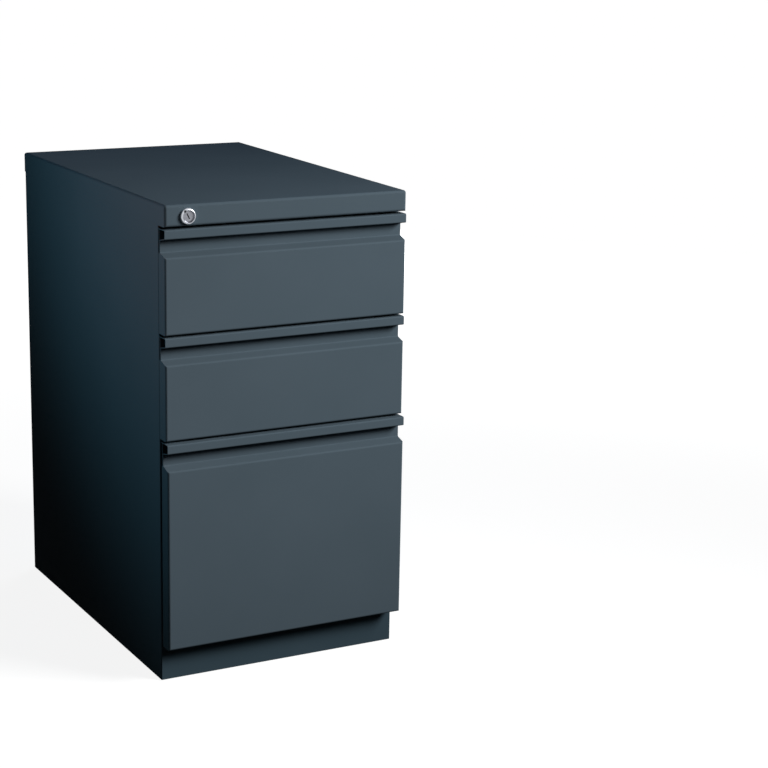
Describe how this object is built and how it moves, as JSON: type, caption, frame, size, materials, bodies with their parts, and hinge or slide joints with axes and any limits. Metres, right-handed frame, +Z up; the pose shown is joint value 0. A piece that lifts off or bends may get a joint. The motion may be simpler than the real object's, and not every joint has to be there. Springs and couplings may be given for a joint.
{
  "type": "metal filing cabinet",
  "caption": "Narrow steel pedestal with two box drawers and a file drawer, full-width folded pulls, telescoping slides and a gang lock in the top rail.",
  "frame": {"origin": "under the middle of the cabinet, on the floor", "axes": "+X to the cabinet's right seen from the front, -Y out of the drawer fronts, +Z up"},
  "size_m": [0.381, 0.587, 0.705],
  "materials": {
    "charcoal_paint": "satin powder coat",
    "slide_zinc": "bright zinc plate",
    "cage_steel": "bright steel",
    "bumper_rubber": "matte",
    "glide_nylon": "matte",
    "guide_nylon": "matte",
    "lock_chrome": "polished",
    "lock_zinc": "zinc plate",
    "zinc_bracket": "galvanised"
  },
  "bodies": {
    "case": {"back_panel": "charcoal_paint", "base_pan": "charcoal_paint", "file_drawer_outer_slide_left": "slide_zinc", "file_drawer_outer_slide_right": "slide_zinc", "floor_glides": "glide_nylon", "front_upright_left": "zinc_bracket", "front_upright_right": "zinc_bracket", "kick_plate": "charcoal_paint", "lock_bar_guides": "guide_nylon", "lock_housing": "lock_chrome", "lock_nut": "lock_zinc", "middle_drawer_outer_slide_left": "slide_zinc", "middle_drawer_outer_slide_right": "slide_zinc", "rear_upright_left": "zinc_bracket", "rear_upright_right": "zinc_bracket", "side_panel_left": "charcoal_paint", "side_panel_right": "charcoal_paint", "top_drawer_outer_slide_left": "slide_zinc", "top_drawer_outer_slide_right": "slide_zinc", "top_panel": "charcoal_paint"},
    "top_drawer": {"top_drawer_back": "charcoal_paint", "top_drawer_bumpers": "bumper_rubber", "top_drawer_front": "charcoal_paint", "top_drawer_inner_front": "charcoal_paint", "top_drawer_inner_slide_left": "slide_zinc", "top_drawer_inner_slide_right": "slide_zinc", "top_drawer_lock_catch": "lock_zinc", "top_drawer_tray": "charcoal_paint"},
    "middle_drawer": {"middle_drawer_back": "charcoal_paint", "middle_drawer_bumpers": "bumper_rubber", "middle_drawer_front": "charcoal_paint", "middle_drawer_inner_front": "charcoal_paint", "middle_drawer_inner_slide_left": "slide_zinc", "middle_drawer_inner_slide_right": "slide_zinc", "middle_drawer_lock_catch": "lock_zinc", "middle_drawer_tray": "charcoal_paint"},
    "file_drawer": {"file_drawer_back": "charcoal_paint", "file_drawer_bumpers": "bumper_rubber", "file_drawer_front": "charcoal_paint", "file_drawer_inner_front": "charcoal_paint", "file_drawer_inner_slide_left": "slide_zinc", "file_drawer_inner_slide_right": "slide_zinc", "file_drawer_lock_catch": "lock_zinc", "file_drawer_tray": "charcoal_paint", "hang_rail_left": "zinc_bracket", "hang_rail_right": "zinc_bracket"},
    "top_drawer_cages": {"top_drawer_ball_cages": "cage_steel"},
    "middle_drawer_cages": {"middle_drawer_ball_cages": "cage_steel"},
    "file_middle_slides": {"file_drawer_middle_slide_left": "slide_zinc", "file_drawer_middle_slide_right": "slide_zinc"},
    "file_outer_cages": {"file_drawer_outer_cages": "cage_steel"},
    "file_inner_cages": {"file_drawer_inner_cages": "cage_steel"},
    "lock_plug": {"cam_screw": "lock_zinc", "lock_cam": "lock_zinc", "lock_plug": "lock_chrome"},
    "lock_bar": {"lock_bar": "lock_zinc"}
  },
  "joints": [
    {"name": "top_drawer_slide", "type": "slide", "parent": "case", "child": "top_drawer", "axis": [0, -1, 0], "range_m": [0, 0.33]},
    {"name": "middle_drawer_slide", "type": "slide", "parent": "case", "child": "middle_drawer", "axis": [0, -1, 0], "range_m": [0, 0.33]},
    {"name": "file_drawer_slide", "type": "slide", "parent": "case", "child": "file_drawer", "axis": [0, -1, 0], "range_m": [0, 0.48]},
    {"name": "lock_bar_lift", "type": "slide", "parent": "case", "child": "lock_bar", "axis": [0, 0, 1], "range_m": [0, 0.01273]},
    {"name": "top_cages_roll", "type": "slide", "parent": "case", "child": "top_drawer_cages", "axis": [0, -1, 0], "range_m": [0, 0.165]},
    {"name": "middle_cages_roll", "type": "slide", "parent": "case", "child": "middle_drawer_cages", "axis": [0, -1, 0], "range_m": [0, 0.165]},
    {"name": "file_middle_slides_run", "type": "slide", "parent": "case", "child": "file_middle_slides", "axis": [0, -1, 0], "range_m": [0, 0.24]},
    {"name": "file_outer_cages_roll", "type": "slide", "parent": "case", "child": "file_outer_cages", "axis": [0, -1, 0], "range_m": [0, 0.12]},
    {"name": "file_inner_cages_roll", "type": "slide", "parent": "case", "child": "file_inner_cages", "axis": [0, -1, 0], "range_m": [0, 0.36]},
    {"name": "lock_turn", "type": "hinge", "parent": "case", "child": "lock_plug", "pos_m": [-0.156, -0.2875, 0.6887], "axis": [0, 1, 0], "range_deg": [0, 90]}
  ],
  "couplings": [
    {"joint": "top_cages_roll", "follows": "top_drawer_slide", "ratio": 0.5},
    {"joint": "middle_cages_roll", "follows": "middle_drawer_slide", "ratio": 0.5},
    {"joint": "file_middle_slides_run", "follows": "file_drawer_slide", "ratio": 0.5},
    {"joint": "file_outer_cages_roll", "follows": "file_drawer_slide", "ratio": 0.25},
    {"joint": "file_inner_cages_roll", "follows": "file_drawer_slide", "ratio": 0.75},
    {"joint": "lock_turn", "follows": "lock_bar_lift", "rad_per_m": 123.41}
  ]
}
